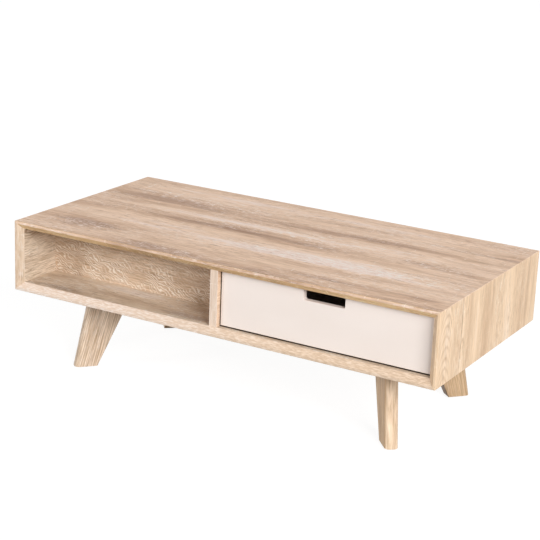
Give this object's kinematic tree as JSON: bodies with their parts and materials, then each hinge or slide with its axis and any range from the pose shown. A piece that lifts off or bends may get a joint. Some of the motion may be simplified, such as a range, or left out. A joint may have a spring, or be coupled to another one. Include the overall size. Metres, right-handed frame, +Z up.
{
  "type": "storage coffee table",
  "caption": "Low rectangular coffee table: a mitred, bevelled wood box with open niches and white notched drawers on both long sides, on splayed plank legs.",
  "frame": {"origin": "on the floor under the middle of the table", "axes": "+X along the length, +Y from the front to the rear, +Z up"},
  "size_m": [1.2, 0.6, 0.395],
  "materials": {
    "oak_foil": "pale washed oak foil on chipboard, satin",
    "leg_oak": "pale washed oak, satin",
    "white_lacquer": "warm white satin lacquer on fibreboard",
    "drawer_board": "white melamine on chipboard",
    "hardboard": "white printed hardboard",
    "beech": "bare beech",
    "zinc_steel": "bright zinc plate",
    "cam_zinc": "cast zinc alloy",
    "white_steel": "white epoxy powder coat",
    "black_steel": "black powder coat",
    "nylon": "natural white nylon"
  },
  "bodies": {
    "table": {"top_panel": "oak_foil", "bottom_panel": "oak_foil", "left_side_panel": "oak_foil", "right_side_panel": "oak_foil", "centre_divider": "oak_foil", "front_niche_back": "oak_foil", "rear_niche_back": "oak_foil", "mitre_tongues": "beech", "carcass_dowels": "beech", "carcass_screws": "zinc_steel", "front_left_leg": "leg_oak", "front_right_leg": "leg_oak", "rear_left_leg": "leg_oak", "rear_right_leg": "leg_oak", "front_left_leg_plate": "black_steel", "front_right_leg_plate": "black_steel", "rear_left_leg_plate": "black_steel", "rear_right_leg_plate": "black_steel", "leg_plate_screws": "zinc_steel", "leg_screws": "zinc_steel", "foot_glides": "nylon", "front_drawer_left_rail": "white_steel", "front_drawer_right_rail": "white_steel", "rear_drawer_left_rail": "white_steel", "rear_drawer_right_rail": "white_steel", "rail_rivets": "zinc_steel", "rail_screws": "zinc_steel"},
    "front_drawer": {"front_drawer_front": "white_lacquer", "front_drawer_left_side": "drawer_board", "front_drawer_right_side": "drawer_board", "front_drawer_back": "drawer_board", "front_drawer_bottom": "hardboard", "front_drawer_cam_bolts": "zinc_steel", "front_drawer_cam_locks": "cam_zinc", "front_drawer_back_screws": "zinc_steel", "front_drawer_left_runner": "white_steel", "front_drawer_right_runner": "white_steel", "front_drawer_runner_rivets": "zinc_steel", "front_drawer_runner_screws": "zinc_steel"},
    "front_drawer_left_rail_roller": {"front_drawer_left_rail_roller": "nylon"},
    "front_drawer_left_runner_roller": {"front_drawer_left_runner_roller": "nylon"},
    "front_drawer_right_rail_roller": {"front_drawer_right_rail_roller": "nylon"},
    "front_drawer_right_runner_roller": {"front_drawer_right_runner_roller": "nylon"},
    "rear_drawer": {"rear_drawer_front": "white_lacquer", "rear_drawer_left_side": "drawer_board", "rear_drawer_right_side": "drawer_board", "rear_drawer_back": "drawer_board", "rear_drawer_bottom": "hardboard", "rear_drawer_cam_bolts": "zinc_steel", "rear_drawer_cam_locks": "cam_zinc", "rear_drawer_back_screws": "zinc_steel", "rear_drawer_left_runner": "white_steel", "rear_drawer_right_runner": "white_steel", "rear_drawer_runner_rivets": "zinc_steel", "rear_drawer_runner_screws": "zinc_steel"},
    "rear_drawer_left_rail_roller": {"rear_drawer_left_rail_roller": "nylon"},
    "rear_drawer_left_runner_roller": {"rear_drawer_left_runner_roller": "nylon"},
    "rear_drawer_right_rail_roller": {"rear_drawer_right_rail_roller": "nylon"},
    "rear_drawer_right_runner_roller": {"rear_drawer_right_runner_roller": "nylon"}
  },
  "joints": [
    {"name": "front_drawer_slide", "type": "slide", "parent": "table", "child": "front_drawer", "axis": [0, -1, 0], "range_m": [0, 0.3]},
    {"name": "front_left_rail_roller_spin", "type": "hinge", "parent": "table", "child": "front_drawer_left_rail_roller", "pos_m": [0.0155, -0.244, 0.2535], "axis": [1, 0, 0], "range_deg": [0, 1440]},
    {"name": "front_left_runner_roller_spin", "type": "hinge", "parent": "front_drawer", "child": "front_drawer_left_runner_roller", "pos_m": [0.0168, 0.123, 0.2535], "axis": [1, 0, 0], "range_deg": [0, 1440]},
    {"name": "front_right_rail_roller_spin", "type": "hinge", "parent": "table", "child": "front_drawer_right_rail_roller", "pos_m": [0.574, -0.244, 0.2535], "axis": [1, 0, 0], "range_deg": [0, 1440]},
    {"name": "front_right_runner_roller_spin", "type": "hinge", "parent": "front_drawer", "child": "front_drawer_right_runner_roller", "pos_m": [0.5727, 0.123, 0.2535], "axis": [1, 0, 0], "range_deg": [0, 1440]},
    {"name": "rear_drawer_slide", "type": "slide", "parent": "table", "child": "rear_drawer", "axis": [0, 1, 0], "range_m": [0, 0.3]},
    {"name": "rear_left_rail_roller_spin", "type": "hinge", "parent": "table", "child": "rear_drawer_left_rail_roller", "pos_m": [-0.0155, 0.244, 0.2535], "axis": [-1, 0, 0], "range_deg": [0, 1440]},
    {"name": "rear_left_runner_roller_spin", "type": "hinge", "parent": "rear_drawer", "child": "rear_drawer_left_runner_roller", "pos_m": [-0.0168, -0.123, 0.2535], "axis": [-1, 0, 0], "range_deg": [0, 1440]},
    {"name": "rear_right_rail_roller_spin", "type": "hinge", "parent": "table", "child": "rear_drawer_right_rail_roller", "pos_m": [-0.574, 0.244, 0.2535], "axis": [-1, 0, 0], "range_deg": [0, 1440]},
    {"name": "rear_right_runner_roller_spin", "type": "hinge", "parent": "rear_drawer", "child": "rear_drawer_right_runner_roller", "pos_m": [-0.5727, -0.123, 0.2535], "axis": [-1, 0, 0], "range_deg": [0, 1440]}
  ],
  "couplings": [
    {"joint": "front_left_rail_roller_spin", "follows": "front_drawer_slide", "rad_per_m": 83.333},
    {"joint": "front_left_runner_roller_spin", "follows": "front_drawer_slide", "rad_per_m": 83.333},
    {"joint": "front_right_rail_roller_spin", "follows": "front_drawer_slide", "rad_per_m": 83.333},
    {"joint": "front_right_runner_roller_spin", "follows": "front_drawer_slide", "rad_per_m": 83.333},
    {"joint": "rear_left_rail_roller_spin", "follows": "rear_drawer_slide", "rad_per_m": 83.333},
    {"joint": "rear_left_runner_roller_spin", "follows": "rear_drawer_slide", "rad_per_m": 83.333},
    {"joint": "rear_right_rail_roller_spin", "follows": "rear_drawer_slide", "rad_per_m": 83.333},
    {"joint": "rear_right_runner_roller_spin", "follows": "rear_drawer_slide", "rad_per_m": 83.333}
  ]
}
